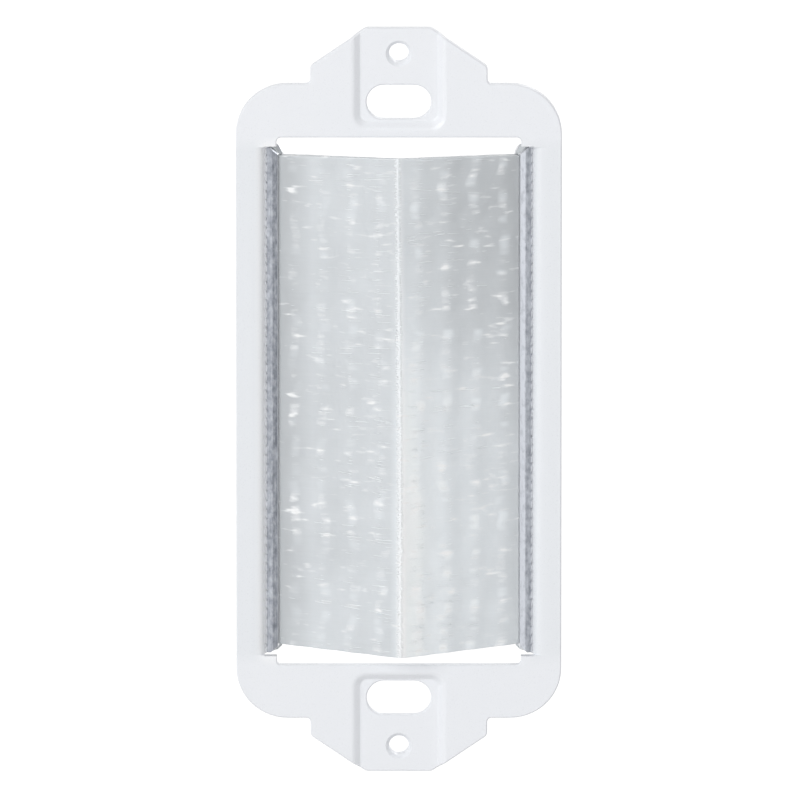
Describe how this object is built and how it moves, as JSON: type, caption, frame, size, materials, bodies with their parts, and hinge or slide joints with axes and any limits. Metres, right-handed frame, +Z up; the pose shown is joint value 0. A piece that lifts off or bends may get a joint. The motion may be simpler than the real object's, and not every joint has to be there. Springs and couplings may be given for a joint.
{
  "type": "brush pass-through insert",
  "caption": "White stamped-steel wall plate insert with slotted screw ears and facing strip brushes, whose clear nylon bristles meet in a ridge that covers the opening and lets cables through.",
  "frame": {"origin": "centre of the screw pattern, in the plane of the strap's flat back", "axes": "+Z up along the long side, +Y back into the wall, +X to the right seen from the front"},
  "size_m": [0.0444, 0.0095, 0.104],
  "materials": {
    "white_paint": "satin white powder coat on sheet steel",
    "zinc_channel": "dull zinc-coated strip steel, crimped",
    "core_wire": "drawn steel wire",
    "clear_nylon": "clear crimped nylon filaments"
  },
  "bodies": {
    "root": {"strap_frame": "white_paint", "brush_channel_left": "zinc_channel", "brush_channel_right": "zinc_channel", "core_wire_left": "core_wire", "core_wire_right": "core_wire", "bristles_left": "clear_nylon", "bristles_right": "clear_nylon"}
  },
  "joints": []
}
